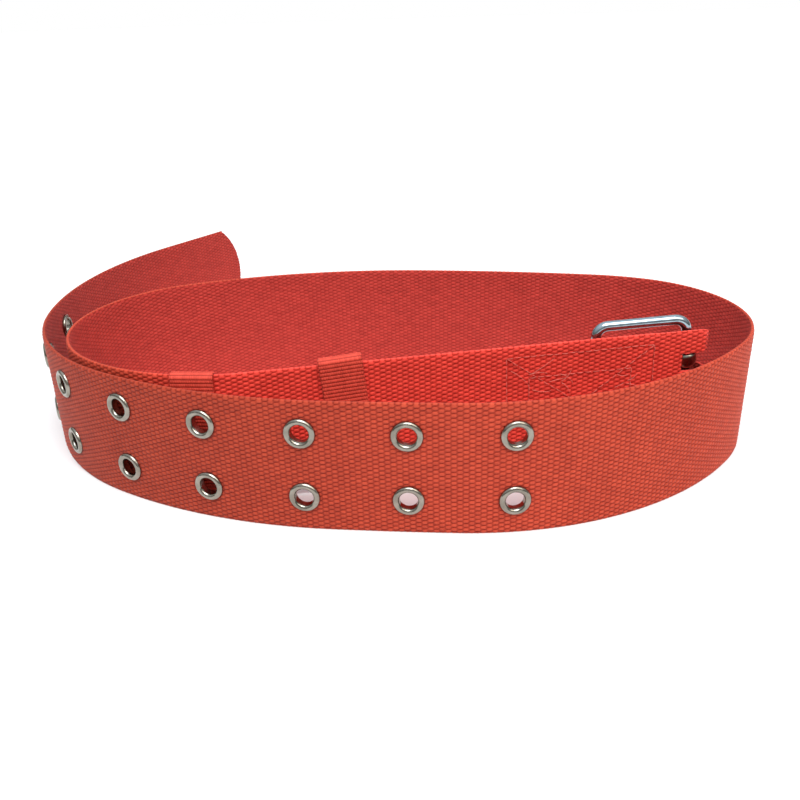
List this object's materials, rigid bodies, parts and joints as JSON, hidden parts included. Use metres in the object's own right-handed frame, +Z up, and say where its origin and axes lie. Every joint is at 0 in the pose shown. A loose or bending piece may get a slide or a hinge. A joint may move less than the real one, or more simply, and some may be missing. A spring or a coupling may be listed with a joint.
{
  "type": "work belt",
  "caption": "Coiled wide webbing work belt with two rows of metal eyelets, two sliding keepers and a two-prong wire buckle sewn into one end.",
  "frame": {"origin": "centre of the coil's plan, on the surface that it stands on", "axes": "+X along the long side of the coil towards the buckle, +Z up along the strap's width"},
  "size_m": [0.3007, 0.2624, 0.0613],
  "materials": {
    "webbing": "coarse plain-woven orange-red webbing",
    "keeper_webbing": "fine ribbed orange-red tape",
    "thread": "orange-red sewing thread",
    "nickel_plate": "bright nickel plate",
    "plated_wire": "bright zinc-plated steel wire"
  },
  "bodies": {
    "strap": {"strap_free_end": "webbing", "strap_eyelet_length": "webbing", "strap_wrap_1": "webbing", "strap_wrap_2": "webbing", "strap_wrap_3": "webbing", "strap_wrap_4": "webbing", "strap_wrap_5": "webbing", "strap_wrap_6": "webbing", "strap_turn_1": "webbing", "strap_turn_2": "webbing", "strap_turn_3": "webbing", "box_stitch_thread": "thread", "strap_buckle_end": "webbing", "eyelet_lower_1": "nickel_plate", "washer_lower_1": "nickel_plate", "eyelet_upper_1": "nickel_plate", "washer_upper_1": "nickel_plate", "eyelet_lower_2": "nickel_plate", "washer_lower_2": "nickel_plate", "eyelet_upper_2": "nickel_plate", "washer_upper_2": "nickel_plate", "eyelet_lower_3": "nickel_plate", "washer_lower_3": "nickel_plate", "eyelet_upper_3": "nickel_plate", "washer_upper_3": "nickel_plate", "eyelet_lower_4": "nickel_plate", "washer_lower_4": "nickel_plate", "eyelet_upper_4": "nickel_plate", "washer_upper_4": "nickel_plate", "eyelet_lower_5": "nickel_plate", "washer_lower_5": "nickel_plate", "eyelet_upper_5": "nickel_plate", "washer_upper_5": "nickel_plate", "eyelet_lower_6": "nickel_plate", "washer_lower_6": "nickel_plate", "eyelet_upper_6": "nickel_plate", "washer_upper_6": "nickel_plate", "eyelet_lower_7": "nickel_plate", "washer_lower_7": "nickel_plate", "eyelet_upper_7": "nickel_plate", "washer_upper_7": "nickel_plate", "eyelet_lower_8": "nickel_plate", "washer_lower_8": "nickel_plate", "eyelet_upper_8": "nickel_plate", "washer_upper_8": "nickel_plate"},
    "buckle": {"buckle_frame": "plated_wire"},
    "prong_upper": {"prong_upper": "plated_wire"},
    "prong_lower": {"prong_lower": "plated_wire"},
    "keeper_snug": {"keeper_snug": "keeper_webbing"},
    "keeper_loose": {"keeper_loose": "keeper_webbing"}
  },
  "joints": [
    {"name": "buckle_hinge", "type": "hinge", "parent": "strap", "child": "buckle", "pos_m": [0.11543, -0.08191, 0.03134], "axis": [0.0628, 0.0008, -0.998], "range_deg": [0, 85]},
    {"name": "prong_upper_hinge", "type": "hinge", "parent": "buckle", "child": "prong_upper", "pos_m": [0.11464, -0.08192, 0.04382], "axis": [0.0628, 0.0008, -0.998], "range_deg": [0, 38]},
    {"name": "prong_lower_hinge", "type": "hinge", "parent": "buckle", "child": "prong_lower", "pos_m": [0.11621, -0.0819, 0.01887], "axis": [0.0628, 0.0008, -0.998], "range_deg": [0, 38]},
    {"name": "keeper_snug_slide", "type": "slide", "parent": "strap", "child": "keeper_snug", "axis": [0.9958, -0.0918, 0], "range_m": [-0.003, 0.003]},
    {"name": "keeper_loose_slide", "type": "slide", "parent": "strap", "child": "keeper_loose", "axis": [0.995, 0.0958, 0.0295], "range_m": [-0.004, 0.034]}
  ]
}
